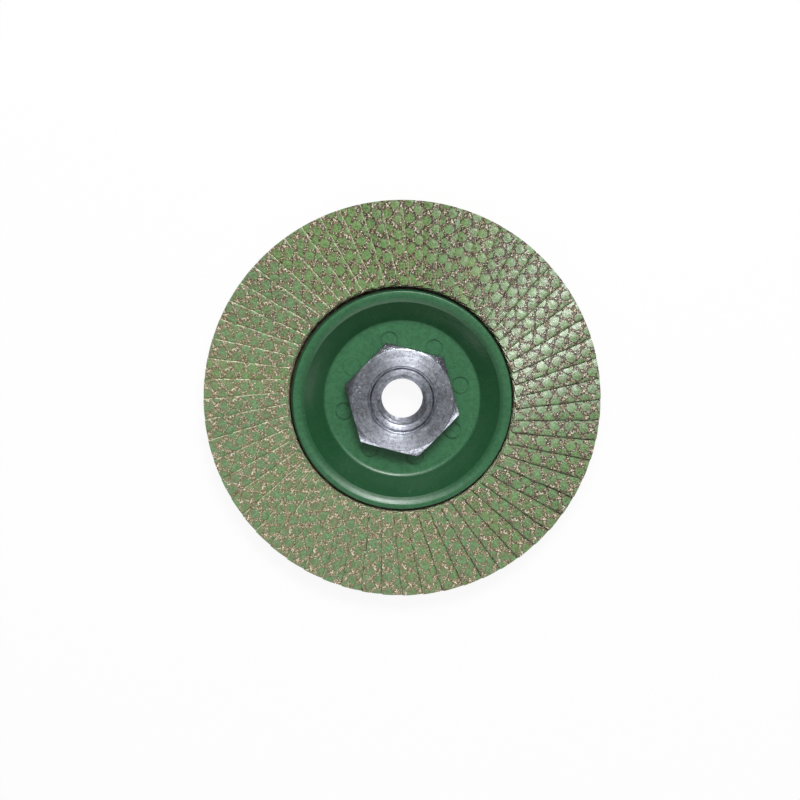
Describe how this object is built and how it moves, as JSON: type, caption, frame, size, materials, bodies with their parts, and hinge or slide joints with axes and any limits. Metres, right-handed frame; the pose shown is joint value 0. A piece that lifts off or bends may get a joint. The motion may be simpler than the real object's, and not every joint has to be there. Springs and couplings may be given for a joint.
{
  "type": "flap disc",
  "caption": "Angle grinder flap disc: diamond-coated cloth flaps fanned on a dished plastic backing plate with a threaded steel hub nut.",
  "frame": {"origin": "on the bore axis, at the rear face of the steel washer, where the spindle's flange meets the hub", "axes": "+Z along the bore axis, from the grinder towards the work; +X and +Y in the plane of the disc"},
  "size_m": [0.115, 0.115, 0.012],
  "materials": {
    "moulded_plastic": "semi-gloss injection-moulded green nylon",
    "epoxy": "cured brown adhesive",
    "zinc_plated_steel": "turned steel with dull zinc plating",
    "diamond_cloth": "resin-coated cloth with smooth green dots in a network of diamond grit"
  },
  "bodies": {
    "root": {"backing_plate": "moulded_plastic", "adhesive_ring": "epoxy", "hub_nut": "zinc_plated_steel", "clamp_washer": "zinc_plated_steel", "flap_pair_01": "diamond_cloth", "flap_pair_02": "diamond_cloth", "flap_pair_03": "diamond_cloth", "flap_pair_04": "diamond_cloth", "flap_pair_05": "diamond_cloth", "flap_pair_06": "diamond_cloth", "flap_pair_07": "diamond_cloth", "flap_pair_08": "diamond_cloth", "flap_pair_09": "diamond_cloth", "flap_pair_10": "diamond_cloth", "flap_pair_11": "diamond_cloth", "flap_pair_12": "diamond_cloth", "flap_pair_13": "diamond_cloth", "flap_pair_14": "diamond_cloth", "flap_pair_15": "diamond_cloth", "flap_pair_16": "diamond_cloth", "flap_pair_17": "diamond_cloth", "flap_pair_18": "diamond_cloth", "flap_pair_19": "diamond_cloth", "flap_pair_20": "diamond_cloth", "flap_pair_21": "diamond_cloth", "flap_pair_22": "diamond_cloth", "flap_pair_23": "diamond_cloth", "flap_pair_24": "diamond_cloth", "flap_pair_25": "diamond_cloth", "flap_pair_26": "diamond_cloth", "flap_pair_27": "diamond_cloth", "flap_pair_28": "diamond_cloth", "flap_pair_29": "diamond_cloth", "flap_pair_30": "diamond_cloth"}
  },
  "joints": []
}
